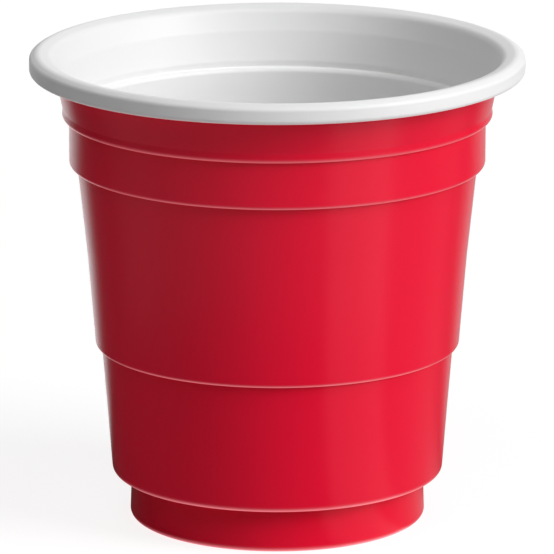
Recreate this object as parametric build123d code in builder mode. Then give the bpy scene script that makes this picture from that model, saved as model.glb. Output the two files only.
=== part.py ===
"""A small two-colour plastic shot cup: one thin sheet drawn into a stepped, nesting shape.

The whole cup is one revolved wall. The corners of its outer face run from the middle of the
underside out to the foot, up over three nesting steps and into the rolled rim. The inner face
has the same corners, one wall inside, and together the two faces are the section of the
sheet. Lengths are in millimetres, the cup stands on Z = 0 and its axis is Z.
"""
import os

from build123d import *

# Overall size
height = 55.0
rim_diameter = 57.1

# Sheet, and the inside radius of its bends
wall = 0.4
sharp_bend = 0.12
nook_bend = 0.1

# Rolled rim: a shoulder, a low round crest, a ridge where the sheet turns down, a tucked edge
rim_depth = 2.3  # from the top of the rim down to its underside
shoulder_inset = 2.3  # from the edge of the rim in to the shoulder
shoulder_fall = 0.28  # from the crest down to the shoulder
shoulder_bend = 0.6
crest_inset = 1.1  # from the edge of the rim in to its crest
crest_bend = 0.7
ridge_fall = 0.3  # from the crest down to the ridge
ridge_bend = 0.1
tuck_bend = 0.1
tuck_rise = 0.35  # the tucked-in edge rises towards the flare
tuck_gap = 0.3  # between the tucked-in edge and the flare
flare_height = 3.0  # from the top of the rim down to where the neck turns outwards
flare_bend = 2.0
rim_overhang = 3.1  # from the foot of the flare out to the edge of the rim

# Neck
neck_height = 7.54  # from the top of the rim down to the neck's step
neck_lean_share = 0.205  # radius gained for each unit of height
neck_shelf = 0.22
crease_height = 1.12  # above the neck's step
crease_depth = 0.12  # how far the wall draws in above the lip
crease_bend = 0.4

# Grip band
band_height = 5.54
band_shelf = 0.28

# Upper body, the tall wall
upper_draft_share = 0.0948  # radius gained for each unit of height
upper_shelf = 0.07
upper_bow = 0.12  # how far the middle of the wall draws in as it cools
bow_spread_share = 0.85  # part of the wall that the bow takes

# Lower body
lower_height = 15.23
lower_draft_share = 0.0795  # radius gained for each unit of height
lower_bend = 0.4
lower_shelf = 1.3

# Foot and base
foot_height = 5.27
foot_undercut = 0.19  # the foot is this much narrower at its top
foot_bend = 0.3
stand_width = 0.8  # flat ring that the cup stands on
base_lift = 1.2  # base panel above the table
base_taper = 0.3
base_bend = 0.3

# Levels, from the table up and from the rim down
lower_top = foot_height + lower_height
neck_level = height - neck_height
band_level = neck_level - band_height
crease_level = neck_level + crease_height
flare_level = height - flare_height
upper_middle = (lower_top + band_level) / 2

# Radii of the outer face, from the rim in to the foot. A step is a nook, a shelf and a bend.
sharp_step = nook_bend + sharp_bend + wall
rim_radius = rim_diameter / 2
flare_radius = rim_radius - rim_overhang
crease_radius = flare_radius - neck_lean_share * (flare_level - crease_level)
neck_radius = crease_radius + crease_depth
band_radius = neck_radius - sharp_step - neck_shelf
upper_top_radius = band_radius - sharp_step - band_shelf
upper_bottom_radius = upper_top_radius - upper_draft_share * (band_level - lower_top)
lower_top_radius = upper_bottom_radius - sharp_step - upper_shelf
lower_bottom_radius = lower_top_radius - lower_draft_share * lower_height
foot_top_radius = lower_bottom_radius - nook_bend - lower_bend - wall - lower_shelf
foot_radius = foot_top_radius + foot_undercut
stand_radius = foot_radius - foot_bend - wall - stand_width - sharp_bend - wall
base_radius = stand_radius - base_taper

# The bowed wall is two straight halves that meet at a knee, with one long bend over both
knee_radius = (upper_bottom_radius + upper_top_radius) / 2 - 2 * upper_bow
half_wall = upper_middle - lower_top
bow_bend = bow_spread_share * half_wall**2 / (2 * upper_bow)

# The rolled rim. The roll hides the outer face of the sheet, and its corners are on that face.
crest_center = Vector(rim_radius - crest_inset, height - wall - crest_bend)
crest_circle = Edge.make_circle(crest_bend, Plane(crest_center))
shoulder_radius = rim_radius - shoulder_inset
shoulder_level = height - wall - shoulder_fall
ridge_level = height - wall - ridge_fall
skirt_radius = rim_radius - wall
tuck_level = height - rim_depth + wall
shoulder_line = ConstrainedLines(
    crest_circle,
    (shoulder_radius, shoulder_level),
    selector=lambda lines: lines.sort_by(Axis.Y)[-1],
)
ridge_line = ConstrainedLines(
    crest_circle,
    (skirt_radius, ridge_level),
    selector=lambda lines: lines.sort_by(Axis.Y)[-1],
)
crest_start = shoulder_line.vertices().sort_by(Axis.X)[-1].center()
crest_end = ridge_line.vertices().sort_by(Axis.X)[0].center()
crest_sweep = (crest_start - crest_center).get_angle(crest_end - crest_center)

# The tucked edge stops short of the flare
flare_lean_share = (shoulder_radius - flare_radius) / (shoulder_level - flare_level)
edge_level = tuck_level + tuck_rise
edge_radius = flare_radius + flare_lean_share * (edge_level - flare_level) + tuck_gap

# Corners of the outer face up to the crest and after it, with the inside radius of each bend
wall_bends = [
    ((base_radius, base_lift), base_bend),
    ((stand_radius, 0), sharp_bend),
    ((foot_radius, 0), foot_bend),
    ((foot_top_radius, foot_height), nook_bend),
    ((lower_bottom_radius, foot_height), lower_bend),
    ((lower_top_radius, lower_top), nook_bend),
    ((upper_bottom_radius, lower_top), sharp_bend),
    ((knee_radius, upper_middle), bow_bend),
    ((upper_top_radius, band_level), nook_bend),
    ((band_radius, band_level), sharp_bend),
    ((band_radius, neck_level), nook_bend),
    ((neck_radius, neck_level), sharp_bend),
    ((crease_radius, crease_level), crease_bend),
    ((flare_radius, flare_level), flare_bend),
    ((shoulder_radius, shoulder_level), shoulder_bend),
]
rim_bends = [
    ((skirt_radius, ridge_level), ridge_bend),
    ((skirt_radius, tuck_level), tuck_bend),
]
base_center = Vector(0, base_lift)
cut_edge = Vector(edge_radius, edge_level)


def bent_line(start, bends, end, depth):
    """A run of the sheet, at this depth below its outer face."""
    route = [start] + [Vector(*corner) for corner, _ in bends] + [end]
    runs = [(after - before).normalized() for before, after in zip(route, route[1:])]
    corners, rounds = [], []
    for corner, arriving, leaving, (_, bend) in zip(route[1:], runs, runs[1:], bends):
        inward = arriving.rotate(Axis.Z, 90) + leaving.rotate(Axis.Z, 90)
        corners.append(corner + inward * (2 * depth / inward.length**2))
        turns_inward = arriving.cross(leaving).Z > 0
        rounds.append(bend + wall - depth if turns_inward else bend + depth)
    first = start + runs[0].rotate(Axis.Z, 90) * depth
    last = end + runs[-1].rotate(Axis.Z, 90) * depth
    return FilletPolyline(first, corners, last, radius=rounds)


def sheet_face(depth):
    """One face of the sheet, from the axis over the crest to the cut edge under the rim."""
    side = bent_line(base_center, wall_bends, crest_start, depth)
    crest = JernArc(side @ 1, side % 1, crest_bend + depth, -crest_sweep)
    rim = bent_line(crest_end, rim_bends, cut_edge, depth)
    return side @ 0, rim @ 1


with BuildPart() as cup:
    with BuildSketch(Plane.XZ):
        with BuildLine():
            outer_start, outer_end = sheet_face(0)
            inner_start, inner_end = sheet_face(wall)
            Line(outer_start, inner_start)
            Line(outer_end, inner_end)
        make_face()
    revolve(axis=Axis.Z)
cup.part.label = "cup"

os.makedirs("parts", exist_ok=True)
export_step(cup.part, "parts/cup.step")

print(f"foot diameter {2 * foot_radius:.2f}, steps at {foot_height:.2f}, {lower_top:.2f},")
print(f"{band_level:.2f} and {neck_level:.2f}, plastic {cup.part.volume:.0f} cubic millimetres")
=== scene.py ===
# %% [markdown]
# A small two-colour party cup, drawn from one sheet of polystyrene.
#
# The real cup starts as a flat sheet with a red film on one face and white on the other. The
# warm sheet is pulled into a mould, cut free, and its edge is rolled outwards into a bead.
# So there is one skin with two faces, and everything below follows from the line that the
# sheet draws when the cup is cut down the middle. That line comes first, then the finish of
# the two faces, and then a small lathe in Geometry Nodes turns the line into the cup.

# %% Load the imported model
import math

import bpy
import numpy as np
from mathutils import Matrix, Vector


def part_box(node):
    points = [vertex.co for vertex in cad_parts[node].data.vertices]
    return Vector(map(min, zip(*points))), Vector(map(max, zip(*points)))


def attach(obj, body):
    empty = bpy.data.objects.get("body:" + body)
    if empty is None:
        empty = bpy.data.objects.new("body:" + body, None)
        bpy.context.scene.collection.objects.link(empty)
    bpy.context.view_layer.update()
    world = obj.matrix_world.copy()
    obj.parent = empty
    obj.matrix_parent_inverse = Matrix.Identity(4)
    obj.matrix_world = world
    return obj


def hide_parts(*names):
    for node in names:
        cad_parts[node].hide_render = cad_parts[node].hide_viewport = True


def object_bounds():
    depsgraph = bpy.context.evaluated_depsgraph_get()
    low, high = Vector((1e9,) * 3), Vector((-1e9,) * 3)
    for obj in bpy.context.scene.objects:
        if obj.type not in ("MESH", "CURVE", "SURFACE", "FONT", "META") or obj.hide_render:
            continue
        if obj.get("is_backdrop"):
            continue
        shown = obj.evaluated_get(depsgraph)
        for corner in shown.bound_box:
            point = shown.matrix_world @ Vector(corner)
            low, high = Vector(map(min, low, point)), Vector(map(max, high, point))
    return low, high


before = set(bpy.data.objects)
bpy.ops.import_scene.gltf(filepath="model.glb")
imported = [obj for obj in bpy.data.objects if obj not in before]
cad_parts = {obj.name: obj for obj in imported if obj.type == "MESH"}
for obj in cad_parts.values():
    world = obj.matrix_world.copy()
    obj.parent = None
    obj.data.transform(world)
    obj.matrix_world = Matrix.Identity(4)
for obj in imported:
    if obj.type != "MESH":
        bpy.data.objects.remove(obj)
cad_low, cad_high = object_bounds()

# %% [markdown]
# Sizes come first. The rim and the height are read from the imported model, so the dressed cup
# can't be larger than the solid one. The other sizes are the cup's own steps, bends and
# wall, counted the way a mould maker would: levels up from the table and down from the rim.

# %% The sheet and its rolled rim, in metres
mm = 0.001
lowest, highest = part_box("cup")
rim_radius = highest.x
height = highest.z

wall = 0.4 * mm
sharp_bend = 0.12 * mm
nook_bend = 0.1 * mm
rim_depth = 2.3 * mm
shoulder_inset = 2.3 * mm
shoulder_fall = 0.28 * mm
shoulder_bend = 0.6 * mm
crest_inset = 1.1 * mm
crest_bend = 0.7 * mm
ridge_fall = 0.3 * mm
ridge_bend = 0.1 * mm
tuck_bend = 0.1 * mm
tuck_rise = 0.35 * mm
tuck_gap = 0.3 * mm
print(f"packed cup: {(height - lowest.z) / mm:.2f} mm high, {2 * rim_radius / mm:.2f} mm across")

# %% The neck and the grip band below it
flare_level = height - 3.0 * mm
flare_radius = rim_radius - 3.1 * mm
flare_bend = 2.0 * mm
neck_level = height - 7.54 * mm
neck_lean_share = 0.205
neck_shelf = 0.22 * mm
crease_level = neck_level + 1.12 * mm
crease_depth = 0.12 * mm
crease_bend = 0.4 * mm
band_level = neck_level - 5.54 * mm
band_shelf = 0.28 * mm
print(f"neck step at {neck_level / mm:.2f} mm, band step at {band_level / mm:.2f} mm")

# %% The two walls, the foot and the base panel
foot_level = 5.27 * mm
lower_level = foot_level + 15.23 * mm
upper_draft_share = 0.0948
upper_shelf = 0.07 * mm
upper_bow = 0.12 * mm
bow_spread_share = 0.85
lower_draft_share = 0.0795
lower_bend = 0.4 * mm
lower_shelf = 1.3 * mm
foot_undercut = 0.19 * mm
foot_bend = 0.3 * mm
stand_width = 0.8 * mm
base_lift = 1.2 * mm
base_taper = 0.3 * mm
base_bend = 0.3 * mm
print(f"lower step at {lower_level / mm:.2f} mm, foot step at {foot_level / mm:.2f} mm")

# %% The radii that follow from them, from the rim in to the foot
sharp_step = nook_bend + sharp_bend + wall
crease_radius = flare_radius - neck_lean_share * (flare_level - crease_level)
neck_radius = crease_radius + crease_depth
band_radius = neck_radius - sharp_step - neck_shelf
upper_top_radius = band_radius - sharp_step - band_shelf
upper_bottom_radius = upper_top_radius - upper_draft_share * (band_level - lower_level)
lower_top_radius = upper_bottom_radius - sharp_step - upper_shelf
lower_bottom_radius = lower_top_radius - lower_draft_share * (lower_level - foot_level)
foot_top_radius = lower_bottom_radius - nook_bend - lower_bend - wall - lower_shelf
foot_radius = foot_top_radius + foot_undercut
stand_radius = foot_radius - foot_bend - wall - stand_width - sharp_bend - wall
base_radius = stand_radius - base_taper
knee_radius = (upper_bottom_radius + upper_top_radius) / 2 - 2 * upper_bow
knee_level = (lower_level + band_level) / 2
bow_bend = bow_spread_share * (knee_level - lower_level) ** 2 / (2 * upper_bow)
print(f"foot {2 * foot_radius / mm:.2f} mm across, band {2 * band_radius / mm:.2f} mm across")

# %% [markdown]
# The section of the sheet is a chain of straight runs with a bend at each corner. One face
# is the outside and the other lies one wall further in, so both come from one list: the
# corners move along their bisectors, and a bend that opens on one face closes on the other.
# The tall wall draws in a little at its middle as it cools, so it has one corner there, with
# a bend so wide that it takes most of the wall.

# %% Corners of the outer face, from the middle of the base up to the crest of the rim
shoulder_radius = rim_radius - shoulder_inset
shoulder_level = height - wall - shoulder_fall
wall_bends = [
    ((base_radius, base_lift), base_bend),
    ((stand_radius, 0), sharp_bend),
    ((foot_radius, 0), foot_bend),
    ((foot_top_radius, foot_level), nook_bend),
    ((lower_bottom_radius, foot_level), lower_bend),
    ((lower_top_radius, lower_level), nook_bend),
    ((upper_bottom_radius, lower_level), sharp_bend),
    ((knee_radius, knee_level), bow_bend),
    ((upper_top_radius, band_level), nook_bend),
    ((band_radius, band_level), sharp_bend),
    ((band_radius, neck_level), nook_bend),
    ((neck_radius, neck_level), sharp_bend),
    ((crease_radius, crease_level), crease_bend),
    ((flare_radius, flare_level), flare_bend),
    ((shoulder_radius, shoulder_level), shoulder_bend),
]
print(len(wall_bends), "bends up to the crest")

# %% [markdown]
# The rolled rim is what the lip meets, and it catches the most light. The sheet comes up over
# a soft shoulder to a low round crest, turns down at a crisp ridge, and its cut edge is
# tucked in under the roll. The crest is one arc. It starts and ends where straight lines from
# the shoulder and from the ridge touch its circle, so it stays smooth when a size changes.


# %% The rim: over a round crest, down at a ridge and in again below
def turned(vector, angle):
    """A flat vector, turned anticlockwise."""
    return Matrix.Rotation(angle, 2) @ vector


def touching(center, radius, point, side):
    """Where the line from this point touches a circle, on its left (1) or its right (-1)."""
    spoke = point - center
    return center + radius * turned(spoke.normalized(), side * math.acos(radius / spoke.length))


crest_center = Vector((rim_radius - crest_inset, height - wall - crest_bend))
shoulder = Vector((shoulder_radius, shoulder_level))
ridge = Vector((rim_radius - wall, height - wall - ridge_fall))
tuck = Vector((rim_radius - wall, height - rim_depth + wall))
crest_start = touching(crest_center, crest_bend, shoulder, -1)
crest_end = touching(crest_center, crest_bend, ridge, 1)
crest_turn = (crest_start - crest_center).angle(crest_end - crest_center)
flare_lean_share = (shoulder.x - flare_radius) / (shoulder.y - flare_level)
edge_level = tuck.y + tuck_rise
edge_radius = flare_radius + flare_lean_share * (edge_level - flare_level) + tuck_gap
edge = Vector((edge_radius, edge_level))
rim_bends = [(ridge, ridge_bend), (tuck, tuck_bend)]
print("the crest turns through", round(math.degrees(crest_turn)), "degrees")

# %% [markdown]
# A curve object could draw the section too. Here its arcs are laid point by point, because
# the lathe wants plain points, and because a tight bend with a point close by on each side
# keeps its shading to itself. Where the sheet is pulled round an outer corner it is drawn
# thin, and there the cup gets a pale line, partly paler film and partly a painted highlight.
# So each point also carries the strength of that line, from 0 to 1. The painted line is
# strongest at the foot and weakest near the rim; the sheet was also pulled furthest to reach
# the foot.

# %% Arcs and straight runs as points
bend_step = math.radians(10)
crest_step = math.radians(6)
run_step = 2.4 * mm
ease = 0.06 * mm  # from a bend to the nearest point of the run beside it


def arc(center, spoke, sweep, step):
    """Points along an arc that starts at the end of its spoke."""
    count = max(2, math.ceil(abs(sweep) / step))
    return [center + turned(spoke, sweep * i / count) for i in range(count + 1)]


def run(start, end):
    """Points between two bends: one close to each end, and the rest evenly spread."""
    length = (end - start).length
    if length < 3 * ease:
        return []
    along = (end - start) / length
    first, last = start + along * ease, end - along * ease
    count = max(1, math.ceil((last - first).length / run_step))
    return [first.lerp(last, i / count) for i in range(count + 1)]


print(len(run(Vector((0, 0)), Vector((0, lower_level)))), "points on a run as tall as the lower step")

# %% One bend of the sheet
# The pale line, partly thin film and partly painted highlight, fades towards the rim.
rim_fade_share = 0.6  # how much weaker the pale line and its painted highlight are at the rim than at the table
peak_skew = 0.66  # puts the strongest part of a step's pale line nearer to its shelf


def bend_line(corner, arriving, leaving, bend, depth):
    """Points round one bend at this depth below the outer face, and the pale line's strength at each.
    """
    left = turned(arriving, math.pi / 2)
    inward = left + turned(leaving, math.pi / 2)
    apex = corner + inward * (2 * depth / inward.length_squared)
    turn = math.atan2(arriving.cross(leaving), arriving.dot(leaving))
    radius = bend + wall - depth if turn > 0 else bend + depth
    cut = radius * math.tan(abs(turn) / 2)
    spoke = -left * math.copysign(radius, turn)
    points = arc(apex - arriving * cut - spoke, spoke, turn, bend_step)
    bulges = (turn > 0) == (depth == 0)
    most = 1 - rim_fade_share * corner.y / height if bulges else 0.0
    skew = peak_skew if turn > 0 else 1 / peak_skew
    last = len(points) - 1
    return points, [most * math.sin(math.pi * (i / last) ** skew) ** 2 for i in range(last + 1)]


# %% One face of the sheet, from the axis over the crest to the cut edge under the rim
def bent_line(start, bends, end, depth):
    """Points of a run with bends at this depth, and the pale line's strength at each."""
    route = [start, *[Vector(corner) for corner, _ in bends], end]
    runs = [(after - before).normalized() for before, after in zip(route, route[1:])]
    points, thin_and_highlight = [start + turned(runs[0], math.pi / 2) * depth], [0.0]
    for corner, arriving, leaving, (_, bend) in zip(route[1:], runs, runs[1:], bends):
        round_points, round_thin_and_highlight = bend_line(corner, arriving, leaving, bend, depth)
        straight = run(points[-1], round_points[0])
        points += straight + round_points
        thin_and_highlight += [0.0] * len(straight) + round_thin_and_highlight
    finish = end + turned(runs[-1], math.pi / 2) * depth
    straight = run(points[-1], finish)
    return points + straight + [finish], thin_and_highlight + [0.0] * (len(straight) + 1)


def sheet_face(depth):
    """The whole face at this depth: the side up to the crest, the crest, and the rim."""
    side, side_thin_and_highlight = bent_line(base_center, wall_bends, crest_start, depth)
    spoke = (crest_start - crest_center) * (crest_bend + depth) / crest_bend
    crest = arc(crest_center, spoke, -crest_turn, crest_step)[1:-1]
    rim, rim_thin_and_highlight = bent_line(crest_end, rim_bends, edge, depth)
    return side + crest + rim, side_thin_and_highlight + [0.0] * len(crest) + rim_thin_and_highlight


base_center = Vector((0, base_lift))
outside, outside_thin_and_highlight = sheet_face(0)
inside, inside_thin_and_highlight = sheet_face(wall)
cut_edge = run(outside[-1], inside[-1])
print(len(outside), "points outside,", len(inside), "inside,", len(cut_edge), "on the cut edge")

# %% [markdown]
# The two faces become one line of vertices: up the outside, round the cut edge and back down
# the inside. An attribute keeps one value for each vertex and goes wherever the vertex goes.
# "thin_and_highlight" holds the pale lines of thin film and painted highlight, and "white"
# tells the two faces apart. The white face keeps its mark only on the lower edge of the rim,
# where a faint painted glow stands for light coming through the roll.

# %% The section as one line of vertices, from the table side to the drink side
section = outside + cut_edge + inside[::-1]
# Only the lower edge of the rim gets the painted rosy glow on the white face.
rim_edge_glow = [
    amount if point.y < edge_level and point.x > crest_center.x else 0.0
    for point, amount in zip(inside, inside_thin_and_highlight)
]
thin_and_highlight = outside_thin_and_highlight + [0.0] * len(cut_edge) + rim_edge_glow[::-1]
white = [0.0] * (len(outside) + len(cut_edge)) + [1.0] * len(inside)

section_mesh = bpy.data.meshes.new("sheet_section")
edges = [(i, i + 1) for i in range(len(section) - 1)]
section_mesh.from_pydata([(p.x, 0, p.y) for p in section], edges, [])
for name, values in (("thin_and_highlight", thin_and_highlight), ("white", white)):
    section_mesh.attributes.new(name, "FLOAT", "POINT").data.foreach_set("value", values)
cup = bpy.data.objects.new("cup_shell", section_mesh)
bpy.context.scene.collection.objects.link(cup)
print("section of", len(section), "points")

# %% [markdown]
# Both faces of the cup carry the same marks of its making, so they share one node group. The
# warm sheet is pulled down the mould, which leaves soft streaks that run from rim to foot.
# The film has a fine orange peel, and cups that travel in a stack pick up short rub marks,
# which show as slightly duller patches. The group gives a height for the bump and a roughness.
# Each material then picks its own strengths.


# %% Helpers for node trees
def add(tree, kind, inputs=(), **settings):
    """Add a node. The inputs map a socket's name or number to a value or to another socket."""
    made = tree.nodes.new(kind)
    for name, value in settings.items():
        setattr(made, name, value)
    for key, value in dict(inputs).items():
        if isinstance(value, bpy.types.NodeSocket):
            tree.links.new(value, made.inputs[key])
        else:
            made.inputs[key].default_value = value
    return made


def math_node(tree, operation, *values):
    """The result of a Math node."""
    return add(tree, "ShaderNodeMath", dict(enumerate(values)), operation=operation).outputs[0]


def ramp(tree, value, start, end, low=0.0, high=1.0):
    """A smooth change from low to high while the value goes from start to end."""
    inputs = {"Value": value, "From Min": start, "From Max": end, "To Min": low, "To Max": high}
    return add(tree, "ShaderNodeMapRange", inputs, interpolation_type="SMOOTHSTEP").outputs[0]


def interface(tree, direction, sockets):
    """Name the inputs or the outputs of a node group, with their default values."""
    for name, kind, value in sockets:
        socket = tree.interface.new_socket(name, in_out=direction, socket_type=kind)
        if value is not None:
            socket.default_value = value


# %% The shared finish of drawn sheet
sheet_finish = bpy.data.node_groups.new("drawn_sheet", "ShaderNodeTree")
interface(sheet_finish, "INPUT", [
    ("Roughness", "NodeSocketFloat", 0.25),
    ("Dullness", "NodeSocketFloat", 0.1),
    ("Streaks", "NodeSocketFloat", 0.5),
    ("Peel", "NodeSocketFloat", 0.3),
])
interface(sheet_finish, "OUTPUT", [
    ("Roughness", "NodeSocketFloat", None),
    ("Height", "NodeSocketFloat", None),
])
given = add(sheet_finish, "NodeGroupInput").outputs
place = add(sheet_finish, "ShaderNodeTexCoord").outputs["Object"]


def noise(scale, stretch, detail):
    """Noise over the cup. A larger scale is finer, and a smaller stretch is longer upwards."""
    shaped = add(sheet_finish, "ShaderNodeMapping", {"Vector": place, "Scale": (1, 1, stretch)})
    inputs = {"Vector": shaped.outputs[0], "Scale": scale, "Detail": detail}
    return add(sheet_finish, "ShaderNodeTexNoise", inputs).outputs["Fac"]


streak_noise = noise(scale=260, stretch=0.06, detail=2)
peel_noise = noise(scale=2400, stretch=1, detail=1)
rubs = ramp(sheet_finish, noise(scale=90, stretch=0.5, detail=3), start=0.45, end=0.8)
streaks = math_node(sheet_finish, "MULTIPLY", streak_noise, given["Streaks"])
peel = math_node(sheet_finish, "MULTIPLY", peel_noise, given["Peel"])
add(sheet_finish, "NodeGroupOutput", {
    "Roughness": math_node(
        sheet_finish, "MULTIPLY_ADD", rubs, given["Dullness"], given["Roughness"]
    ),
    "Height": math_node(sheet_finish, "ADD", streaks, peel),
})
print("shared finish with", len(sheet_finish.nodes), "nodes")

# %% [markdown]
# Each face is a Principled shader with that group in front of it. The group only gives values
# that change over the surface. What is the same everywhere, such as the refraction of the
# plastic, is set on the shader itself.

# %% A material with the finish of drawn sheet
bump_depth = 0.02 * mm


def skin(name, refraction, **strengths):
    """A material whose roughness and bump come from the finish of drawn sheet."""
    material = bpy.data.materials.new(name)
    material.use_nodes = True
    tree = material.node_tree
    shader = tree.nodes["Principled BSDF"]
    shader.inputs["IOR"].default_value = refraction
    shader.inputs["Emission Strength"].default_value = 1.0
    finish = add(tree, "ShaderNodeGroup", strengths, node_tree=sheet_finish)
    bump = add(tree, "ShaderNodeBump", {"Height": finish.outputs["Height"], "Distance": bump_depth})
    tree.links.new(finish.outputs["Roughness"], shader.inputs["Roughness"])
    tree.links.new(bump.outputs[0], shader.inputs["Normal"])
    return material, tree, shader


def by_thin_and_highlight(tree, elsewhere, highlighted):
    """One colour away from the bends, another on the pale lines of thin film and painted highlight."""
    line_strength = add(tree, "ShaderNodeAttribute", attribute_name="thin_and_highlight").outputs["Fac"]
    first_color, second_color, mixed_color = 6, 7, 2  # the sockets that a Mix node has for colours
    inputs = {0: line_strength, first_color: elsewhere, second_color: highlighted}
    return add(tree, "ShaderNodeMix", inputs, data_type="RGBA").outputs[mixed_color]


no_glow = (0, 0, 0, 1)
print(f"a height of 1 stands {bump_depth / mm:.2f} mm proud")

# %% [markdown]
# The red is a glossy film over the white. Where the sheet was pulled round an outer corner
# the film is thinnest, and the white underneath makes the edge paler. The pale colour there
# is also a painted highlight, and a faint glow is painted on top of it. That glow stands for
# light from inside the cup coming through the thin film: subsurface scattering could bring it
# in, but on so thin a line it is slow to clear of noise. Both follow the section's attribute
# "thin_and_highlight", so the pale line sits exactly on the bend.

# %% The red face
deep_red = (0.9, 0.004, 0.037, 1)
# On the bends: a paler red for thin film, brightened as a painted highlight, and a painted glow.
thin_film_and_highlight_red = (0.95, 0.2, 0.24, 1)
painted_line_glow = (0.58, 0.165, 0.195, 1)
red_film, tree, shader = skin(
    "red_film", refraction=1.28, Roughness=0.2, Dullness=0.06, Streaks=0.3, Peel=0.1
)
# The pale lines take the paler red and the painted glow.
tree.links.new(by_thin_and_highlight(tree, deep_red, thin_film_and_highlight_red), shader.inputs["Base Color"])
tree.links.new(by_thin_and_highlight(tree, no_glow, painted_line_glow), shader.inputs["Emission Color"])
print(red_film.name, "on the outside")

# %% [markdown]
# The white sheet is duller than the film. Along the lower edge of the rim it is pulled round
# the roll, and a faint rosy glow is painted on there for the light that comes through it from
# the red side.

# %% The white face
sheet_white = (0.87, 0.87, 0.87, 1)
# The painted rosy glow along the lower edge of the rim.
painted_rim_glow = (0.38, 0.26, 0.26, 1)
white_sheet, tree, shader = skin(
    "white_sheet", refraction=1.45, Roughness=0.46, Dullness=0.06, Streaks=0.3, Peel=0.1
)
shader.inputs["Base Color"].default_value = sheet_white
tree.links.new(by_thin_and_highlight(tree, no_glow, painted_rim_glow), shader.inputs["Emission Color"])
print(white_sheet.name, "inside and over the bead")

# %% [markdown]
# The cup is round, so one rule makes the whole shell: turn the section about the axis. A
# Screw modifier could do it too. A small Geometry Nodes lathe is used instead, because it
# carries the section's attributes round with it, gives each face its material, and can bring
# in the slight waviness of a thin drawn wall. Each grid column is one copy of the section.
# The grid's index says which point of the section a vertex is, and how far round it stands.

# %% The inputs of the lathe, and its small helpers
lathe = bpy.data.node_groups.new("section_lathe", "GeometryNodeTree")
interface(lathe, "INPUT", [
    ("Section", "NodeSocketGeometry", None),
    ("Steps Round", "NodeSocketInt", 64),
    ("Merge Distance", "NodeSocketFloat", 0.0),
    ("Waviness", "NodeSocketFloat", 0.0),
    ("Waves per Metre", "NodeSocketFloat", 100.0),
    ("Still Below", "NodeSocketFloat", 0.0),
    ("Free Above", "NodeSocketFloat", 0.0),
    ("Free Below", "NodeSocketFloat", 1.0),
    ("Still Above", "NodeSocketFloat", 1.0),
    ("Outside", "NodeSocketMaterial", None),
    ("Inside", "NodeSocketMaterial", None),
])
interface(lathe, "OUTPUT", [("Shell", "NodeSocketGeometry", None)])
given = add(lathe, "NodeGroupInput").outputs


def whole(operation, first, second):
    """The result of an Integer Math node."""
    inputs = {0: first, 1: second}
    return add(lathe, "FunctionNodeIntegerMath", inputs, operation=operation).outputs[0]


def named(name):
    """A named attribute of the section as a field."""
    return add(
        lathe, "GeometryNodeInputNamedAttribute", {"Name": name}, data_type="FLOAT"
    ).outputs[0]


def from_section(field, row, kind):
    """A field of the section, read at this row's point."""
    inputs = {"Geometry": given["Section"], "Value": field, "Index": row}
    return add(lathe, "GeometryNodeSampleIndex", inputs, data_type=kind).outputs[0]


print("lathe inputs:", ", ".join(socket.name for socket in given if socket.name))

# %% The lathe itself: one grid column for each copy of the section
point_count = add(
    lathe, "GeometryNodeAttributeDomainSize", {"Geometry": given["Section"]}
).outputs[0]
grid = add(lathe, "GeometryNodeMeshGrid", {
    "Vertices X": whole("ADD", given["Steps Round"], 1), "Vertices Y": point_count,
}).outputs[0]
index = add(lathe, "GeometryNodeInputIndex").outputs[0]
row = whole("MODULO", index, point_count)
column = whole("DIVIDE_FLOOR", index, point_count)
share_round = math_node(lathe, "DIVIDE", column, given["Steps Round"])
here = add(lathe, "GeometryNodeInputPosition").outputs[0]
spun = add(lathe, "ShaderNodeVectorRotate", {
    "Vector": from_section(here, row, "FLOAT_VECTOR"),
    "Angle": math_node(lathe, "MULTIPLY", share_round, 2 * math.pi),
}, rotation_type="Z_AXIS").outputs[0]
shell = add(lathe, "GeometryNodeSetPosition", {"Geometry": grid, "Position": spun}).outputs[0]
for name in ("thin_and_highlight", "white"):
    shell = add(lathe, "GeometryNodeStoreNamedAttribute", {
        "Geometry": shell, "Name": name, "Value": from_section(named(name), row, "FLOAT"),
    }, data_type="FLOAT", domain="POINT").outputs[0]
shell = add(lathe, "GeometryNodeMergeByDistance", {
    "Geometry": shell, "Distance": given["Merge Distance"],
}).outputs[0]
print("lathe so far:", len(lathe.nodes), "nodes")

# %% [markdown]
# A drawn wall is never perfectly even. The next nodes push the shell in and out by a few
# hundredths of a millimetre, in slow waves just under a centimetre long. The push goes
# straight out from the axis, and the two faces of the sheet lie so close together that they
# move as one, so the wall keeps its thickness. The bead and the foot ring stay where they are.

# %% The waviness
split = add(lathe, "ShaderNodeSeparateXYZ", {0: here}).outputs
across = add(lathe, "ShaderNodeCombineXYZ", {0: split["X"], 1: split["Y"]}).outputs[0]
outward = add(lathe, "ShaderNodeVectorMath", {0: across}, operation="NORMALIZE").outputs[0]
waves = add(lathe, "ShaderNodeTexNoise", {
    "Vector": here, "Scale": given["Waves per Metre"], "Detail": 1.0,
}).outputs[0]
noise_middle = 0.5
push = math_node(lathe, "SUBTRACT", waves, noise_middle)
push = math_node(lathe, "MULTIPLY", push, given["Waviness"])
for still, free in (("Still Below", "Free Above"), ("Still Above", "Free Below")):
    fade = add(lathe, "ShaderNodeMapRange", {
        "Value": split["Z"], "From Min": given[still], "From Max": given[free],
    }).outputs[0]
    push = math_node(lathe, "MULTIPLY", push, fade)
offset = add(
    lathe, "ShaderNodeVectorMath", {0: outward, "Scale": push}, operation="SCALE"
).outputs[0]
shell = add(lathe, "GeometryNodeSetPosition", {"Geometry": shell, "Offset": offset}).outputs[0]
shell = add(lathe, "GeometryNodeSetShadeSmooth", {"Geometry": shell}).outputs[0]
print("with the waviness:", len(lathe.nodes), "nodes")

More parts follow.
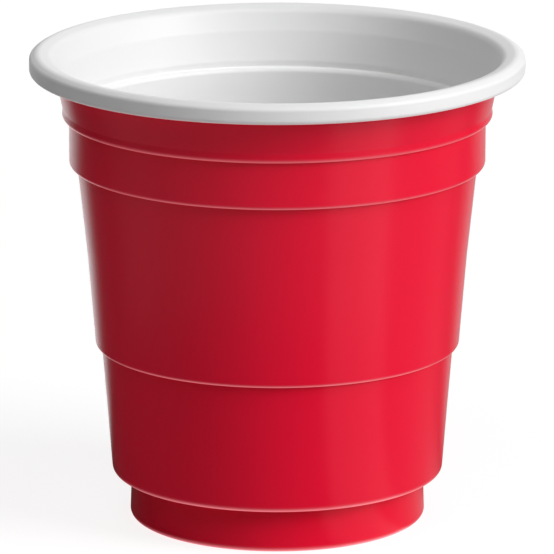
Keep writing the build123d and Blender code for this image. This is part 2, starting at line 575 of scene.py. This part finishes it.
# %% The materials and the end of the tree
mostly_white = 0.6  # a face on the cut edge is half white, and has to stay red
is_white = add(
    lathe, "FunctionNodeCompare", {"A": named("white"), "B": mostly_white}, operation="GREATER_THAN"
).outputs[0]
shell = add(lathe, "GeometryNodeRealizeInstances", {"Geometry": shell}).outputs[0]
for selection, material in ((True, given["Outside"]), (is_white, given["Inside"])):
    shell = add(lathe, "GeometryNodeSetMaterial", {
        "Geometry": shell, "Selection": selection, "Material": material,
    }).outputs[0]
add(lathe, "NodeGroupOutput", {"Shell": shell})
print("whole lathe:", len(lathe.nodes), "nodes")

# %% [markdown]
# A modifier runs the tree on the section. Its inputs are set by the identifiers of their
# sockets, before the object is evaluated for the first time. The result is then kept as a
# plain mesh, because everything that follows wants real faces and no live modifier.

# %% Turn the section and keep the result as a plain mesh
wave_length = 9 * mm
still_foot = 1.5 * mm
still_rim = height - 2.5 * mm
lathe_inputs = {
    "Steps Round": 224,
    "Merge Distance": 0.001 * mm,
    "Waviness": 0.05 * mm,
    "Waves per Metre": 1 / wave_length,
    "Still Below": still_foot,
    "Free Above": 2 * still_foot,
    "Free Below": still_rim - 2 * still_foot,
    "Still Above": still_rim,
    "Outside": red_film,
    "Inside": white_sheet,
}
modifier = cup.modifiers.new("lathe", "NODES")
modifier.node_group = lathe
sockets = {item.name: item.identifier for item in lathe.interface.items_tree}
for name, value in lathe_inputs.items():
    modifier[sockets[name]] = value
depsgraph = bpy.context.evaluated_depsgraph_get()
turned_mesh = bpy.data.meshes.new_from_object(
    cup.evaluated_get(depsgraph), preserve_all_data_layers=True, depsgraph=depsgraph
)
cup.modifiers.clear()
cup.data = turned_mesh
print(len(turned_mesh.vertices), "vertices,", len(turned_mesh.polygons), "faces")

# %% Measure it: a closed shell that faces outwards has the volume of its plastic
turned_mesh.calc_loop_triangles()
corners = np.empty(len(turned_mesh.loop_triangles) * 3, int)
turned_mesh.loop_triangles.foreach_get("vertices", corners)
places = np.empty(len(turned_mesh.vertices) * 3)
turned_mesh.vertices.foreach_get("co", places)
first, second, third = places.reshape(-1, 3)[corners].reshape(-1, 3, 3).transpose(1, 0, 2)
volume = np.einsum("ij,ij->i", first, np.cross(second, third)).sum() / 6
print(len(first), "triangles,", f"plastic {volume / mm**3:.0f} cubic millimetres")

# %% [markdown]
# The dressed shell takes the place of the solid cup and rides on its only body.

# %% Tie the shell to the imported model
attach(cup, "root")
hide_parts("cup")
print(cup.name, "stands for the solid cup")

# %% [markdown]
# The photograph is a studio shot on white, and the cup stands on a wide sheet of white paper.
# The paper bounces light back up under the steps, which picks out their lower edges. It is
# different for each kind of ray, and Light Path tells them apart. To light that bounces it is
# plain pale paper. To the camera it is nearly white by itself and takes only a faint shadow,
# and further from the cup it is whiter still, so that it meets the white behind without a
# line. From below it is clear, so the underside of the cup can be looked at.


# %% Places round the cup
def aim(thing, target):
    """Turn a lamp or a camera towards a point."""
    thing.rotation_euler = (target - thing.location).to_track_quat("-Z", "Y").to_euler()


def around(azimuth, elevation, distance):
    """A place round the cup: azimuth 0 is in front of it and positive is to its right."""
    turn, lift = math.radians(azimuth), math.radians(elevation)
    flat = math.cos(lift)
    return distance * Vector((math.sin(turn) * flat, -math.cos(turn) * flat, math.sin(lift)))


# %% A round floor
floor_radius = 1.5
floor_sides = 96
floor_mesh = bpy.data.meshes.new("floor")
floor_ring = [around(360 * i / floor_sides, 0, floor_radius) for i in range(floor_sides)]
floor_mesh.from_pydata(floor_ring, [], [range(floor_sides)])
floor = bpy.data.objects.new("floor", floor_mesh)
bpy.context.scene.collection.objects.link(floor)
print(f"floor {2 * floor_radius:.0f} m across")

# %% The paper and how white it is
paper_white = 0.55  # to light that bounces
seen_white = 0.24  # to the camera, on top of its glow
mirrored_share = 0.35  # how much of it the gloss of the cup mirrors


def light_path(tree, ray):
    """1 for this kind of ray and 0 for the others."""
    return add(tree, "ShaderNodeLightPath").outputs[ray]


paper = bpy.data.materials.new("floor_paper")
paper.use_nodes = True
tree = paper.node_tree
shader = tree.nodes["Principled BSDF"]
shader.inputs["Roughness"].default_value = 0.9
shader.inputs["Specular IOR Level"].default_value = 0.0
shader.inputs["Emission Color"].default_value = (1, 1, 1, 1)
camera_ray = light_path(tree, "Is Camera Ray")
glossy_ray = light_path(tree, "Is Glossy Ray")
whiteness = ramp(tree, camera_ray, 0, 1, low=paper_white, high=seen_white)
mirrored = ramp(tree, glossy_ray, 0, 1, low=1, high=mirrored_share)
tree.links.new(math_node(tree, "MULTIPLY", whiteness, mirrored), shader.inputs["Base Color"])
print(paper.name, "is", paper_white, "white")

# %% [markdown]
# The walls are glossy, so their haze and their bright bands are mirror images of the studio.
# A wall mirrors the paper about twice as far round as the wall itself, and near the outline
# of the cup it mirrors the paper behind the cup. In the photograph that haze is uneven. Lamps
# that draw it would light the red as well, so the paper has pools of light in a few
# directions instead, and only glossy rays see them. Each pool is full within one angle of its
# direction and fades out towards a wider one.

# %% Pools of light that only the gloss sees
pool_rise = 20 * mm  # the way from the start of a pool, going out, to its full strength
position = add(tree, "ShaderNodeTexCoord").outputs["Object"]
outward = add(tree, "ShaderNodeVectorMath", {0: position}, operation="NORMALIZE").outputs[0]
away = add(tree, "ShaderNodeVectorMath", {0: position}, operation="LENGTH").outputs["Value"]
pools = 0.0
for azimuth, full_within, gone_at, start, strength in (
    (-165, 10, 36, 0, 1.0),  # haze along the left outline
    (158, 8, 34, 0, 0.4),  # a little along the right outline
    (45, 12, 22, 0, 1.1),  # the bright band right of the middle
    (82, 15, 40, 0, 0.35),  # the walls to the right of it
    (-10, 60, 100, 75 * mm, 0.5),  # a sheen on the front
):
    towards = add(tree, "ShaderNodeVectorMath", {
        0: outward, 1: around(azimuth, 0, 1),
    }, operation="DOT_PRODUCT").outputs["Value"]
    rim_of_pool, heart_of_pool = (math.cos(math.radians(a)) for a in (gone_at, full_within))
    pool = ramp(tree, towards, rim_of_pool, heart_of_pool, high=strength)
    reach = ramp(tree, away, start, start + pool_rise)
    pools = math_node(tree, "MULTIPLY_ADD", pool, reach, pools)
print("pools of light made with", len(tree.nodes), "nodes")

# %% What the paper gives by itself, and its clear underside
glow_near = 0.84
glow_far = 1.0
near_until = 0.1
far_from = 0.6
glow = ramp(tree, away, near_until, far_from, low=glow_near, high=glow_far)
seen = math_node(tree, "MULTIPLY", camera_ray, glow)
seen_or_mirrored = math_node(tree, "MULTIPLY_ADD", glossy_ray, pools, seen)
tree.links.new(seen_or_mirrored, shader.inputs["Emission Strength"])
clear = add(tree, "ShaderNodeBsdfTransparent").outputs[0]
from_below = add(tree, "ShaderNodeNewGeometry").outputs["Backfacing"]
surface = add(tree, "ShaderNodeMixShader", {0: from_below, 1: shader.outputs[0], 2: clear})
tree.links.new(surface.outputs[0], tree.nodes["Material Output"].inputs["Surface"])
floor_mesh.materials.append(paper)
floor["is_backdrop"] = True
print(paper.name, "with", len(tree.nodes), "nodes")

# %% [markdown]
# The world gives no light of its own. It is plain white where the camera sees it, and a light
# grey in the gloss, so that the film and the bead have something soft to mirror.

# %% The white behind the cup
gloss_level = 0.6
world = bpy.data.worlds.new("studio")
bpy.context.scene.world = world
world.use_nodes = True
tree = world.node_tree
background = tree.nodes["Background"]
background.inputs["Color"].default_value = (1, 1, 1, 1)
level = math_node(
    tree, "MULTIPLY_ADD",
    light_path(tree, "Is Glossy Ray"), gloss_level, light_path(tree, "Is Camera Ray"),
)
tree.links.new(level, background.inputs["Strength"])
print(world.name, "is 1 to the camera and", gloss_level, "in the gloss")

# %% [markdown]
# The key lamp stands well to the right with a second one above it, so the red runs from deep
# on the left to bright on the right, and the inside of the cup the other way. A lamp high in
# front opens the bead and the near wall, one behind lights the back of the cup, and a weak
# one at the left back keeps that side from going dark. All are large and soft. The last lamp
# is a small disc in the hollow under the base. It matters only from below, where the base
# panel would be black without it.

# %% The lamps
lamp_distance = 0.9
hollow_power = 0.0006
middle = Vector((0, 0, height / 2))


def soft_lamp(name, location, size, power):
    """A square lamp that faces the middle of the cup and that the camera doesn't see."""
    lamp = bpy.data.objects.new(name, bpy.data.lights.new(name, "AREA"))
    lamp.data.size = size
    lamp.data.energy = power
    lamp.location = location
    lamp.visible_camera = False
    bpy.context.scene.collection.objects.link(lamp)
    aim(lamp, middle)
    return lamp


for name, azimuth, elevation, size, power in (
    ("key", 62, 26, 0.45, 5.8),
    ("high_key", 62, 55, 0.45, 1.9),
    ("front", -20, 60, 0.6, 2.0),
    ("back", 180, 35, 0.7, 1.15),
    ("left_back", -120, 45, 0.6, 0.45),
):
    lamp = soft_lamp(name, middle + around(azimuth, elevation, lamp_distance), size, power)
    print(f"{lamp.name}: {power} watts, {size} m")

hollow = soft_lamp("under_base", Vector((0, 0, base_lift / 2)), 2 * base_radius, hollow_power)
hollow.rotation_euler = (math.pi, 0, 0)
hollow.data.shape = "DISK"
hollow.visible_glossy = False
print(f"{hollow.name}: {hollow_power} watts, facing up")

# %% [markdown]
# The camera was found from the photograph: the rim and the step lines are ellipses of known
# circles, and their widths and dips give the elevation, the distance and the focal length.

# %% The camera
camera_elevation = 14.216
camera_distance = 741.4 * mm
camera_target = Vector((-0.035 * mm, 0, 28.23 * mm))
focal_pixels = 6390.7
frame_pixels = 554
sensor_width = 36
camera = bpy.data.objects.new("camera", bpy.data.cameras.new("camera"))
bpy.context.scene.collection.objects.link(camera)
camera.data.sensor_width = sensor_width
camera.data.lens = focal_pixels * sensor_width / frame_pixels
camera.location = camera_target + around(0, camera_elevation, camera_distance)
aim(camera, camera_target)
bpy.context.scene.camera = camera
print(f"lens {camera.data.lens:.0f} mm at {camera_distance / mm:.0f} mm")

# %% [markdown]
# Standard shows each colour as it is written, with no film curve over it. Last, the box of
# the imported model and the box of the dressed one are printed beside each other.

# %% Colours as they are written
bpy.context.scene.view_settings.view_transform = "Standard"
print("view transform:", bpy.context.scene.view_settings.view_transform)

# %% The size before and after
size = {"cad": [list(cad_low), list(cad_high)], "visual": [list(corner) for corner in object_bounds()]}
print(size)
